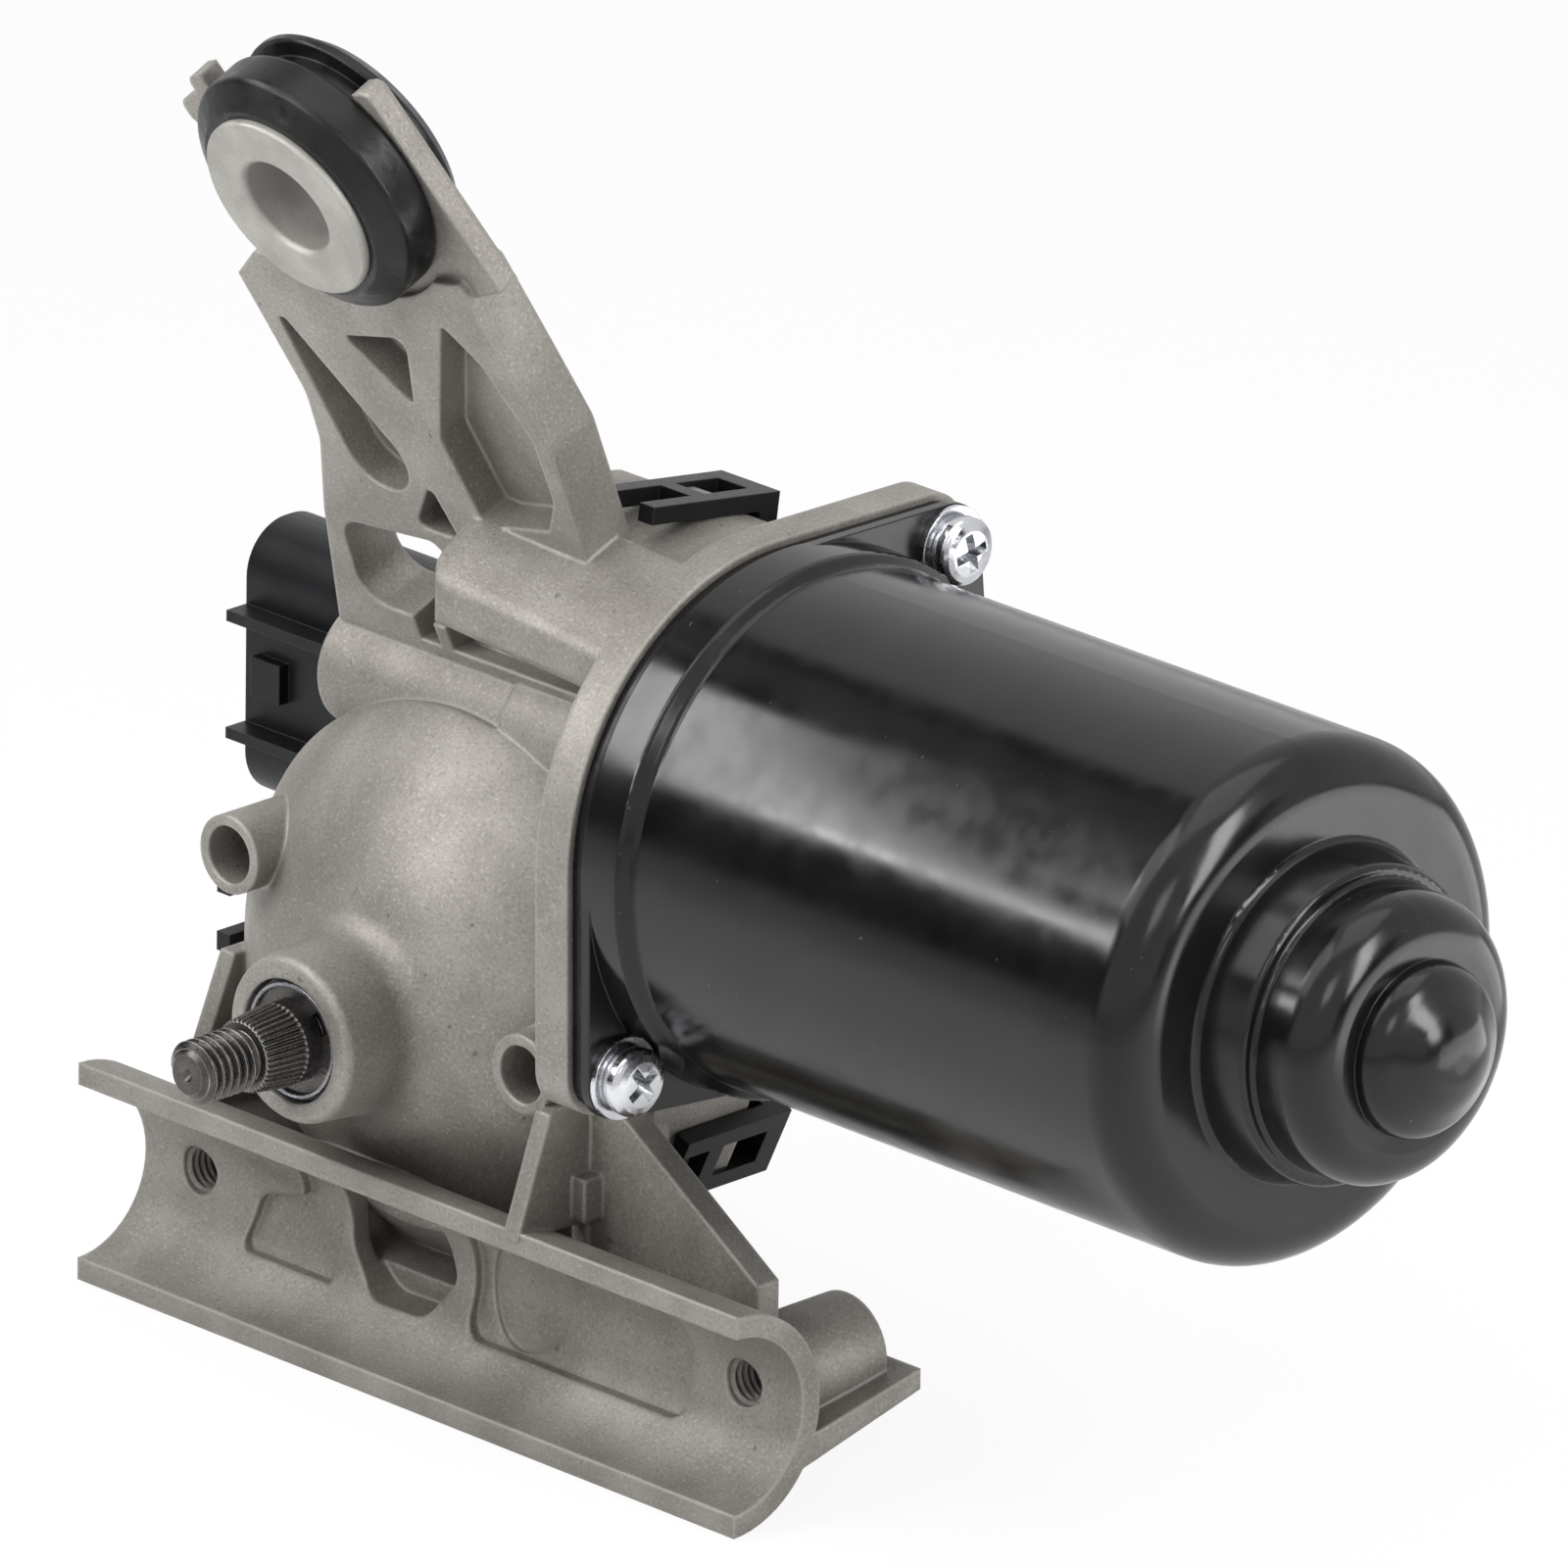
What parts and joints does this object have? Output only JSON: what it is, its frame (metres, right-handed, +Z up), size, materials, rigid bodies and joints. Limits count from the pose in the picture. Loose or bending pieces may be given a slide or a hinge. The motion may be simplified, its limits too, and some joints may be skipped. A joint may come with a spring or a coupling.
{
  "type": "wiper motor",
  "caption": "Wiper motor in a round steel can on a die-cast worm gear housing, with a leaning arm, a rubber mount, a half-tube saddle and a threaded output shaft.",
  "frame": {"origin": "middle of the axis of the frame tube that the saddle clamps", "axes": "+X along the tube and the motor axis, towards the can's closed end; -Y along the output shaft, towards its threaded tip; +Z up, from the saddle to the arm's rubber mount"},
  "size_m": [0.2145, 0.0856, 0.1713],
  "materials": {
    "cast_aluminium": "bead-blasted die casting",
    "black_plastic": "moulded, satin",
    "black_rubber": "satin",
    "tinned_brass": "tinned",
    "spring_bronze": "stamped",
    "black_steel": "gloss black paint",
    "zinc_steel": "bright zinc",
    "ferrite": "sintered",
    "spring_steel": "rolled strip",
    "ground_steel": "ground",
    "lamination_steel": "punched stack",
    "enamelled_copper": "enamelled wire",
    "bare_copper": "turned",
    "sintered_bronze": "sintered",
    "natural_nylon": "moulded",
    "phenolic_board": "moulded",
    "carbon": "pressed",
    "phosphated_steel": "phosphated and oiled",
    "sleeve_steel": "matt plated"
  },
  "bodies": {
    "root": {"bearing_balls": "ground_steel", "bearing_outer_race": "ground_steel", "bearing_retainer": "spring_steel", "brush_card": "phenolic_board", "brush_holders": "spring_bronze", "brush_springs": "spring_steel", "brushes": "carbon", "bush_retainer": "spring_steel", "can_gasket": "black_rubber", "can_screws": "zinc_steel", "choke_coils": "enamelled_copper", "connector_terminals": "tinned_brass", "cover_gasket": "black_rubber", "field_magnets": "ferrite", "front_shim": "phosphated_steel", "gear_housing": "cast_aluminium", "grommet_sleeve": "sleeve_steel", "magnet_springs": "spring_steel", "motor_can": "black_steel", "park_contacts": "spring_bronze", "rear_bush": "sintered_bronze", "rear_cover": "black_plastic", "rubber_grommet": "black_rubber", "screw_washers": "zinc_steel", "shaft_bushes": "sintered_bronze", "shaft_seal": "black_rubber", "thrust_plug": "natural_nylon", "thrust_washer": "spring_steel", "worm_bush": "sintered_bronze", "worm_thrust_pad": "ground_steel"},
    "armature": {"armature_shaft": "ground_steel", "armature_core": "lamination_steel", "armature_windings": "enamelled_copper", "commutator": "bare_copper", "bearing_inner_race": "ground_steel"},
    "output": {"output_shaft": "phosphated_steel", "drive_wheel": "natural_nylon", "contact_disc": "bare_copper", "retaining_ring": "phosphated_steel"}
  },
  "joints": [
    {"name": "armature_spin", "type": "hinge", "parent": "root", "child": "armature", "pos_m": [0.0304, 0.03, 0.0625], "axis": [1, 0, 0], "continuous": true},
    {"name": "output_spin", "type": "hinge", "parent": "root", "child": "output", "pos_m": [-0.0141, 0.03, 0.03], "axis": [0, -1, 0], "continuous": true}
  ],
  "couplings": [
    {"joint": "output_spin", "follows": "armature_spin", "ratio": 0.017857}
  ]
}
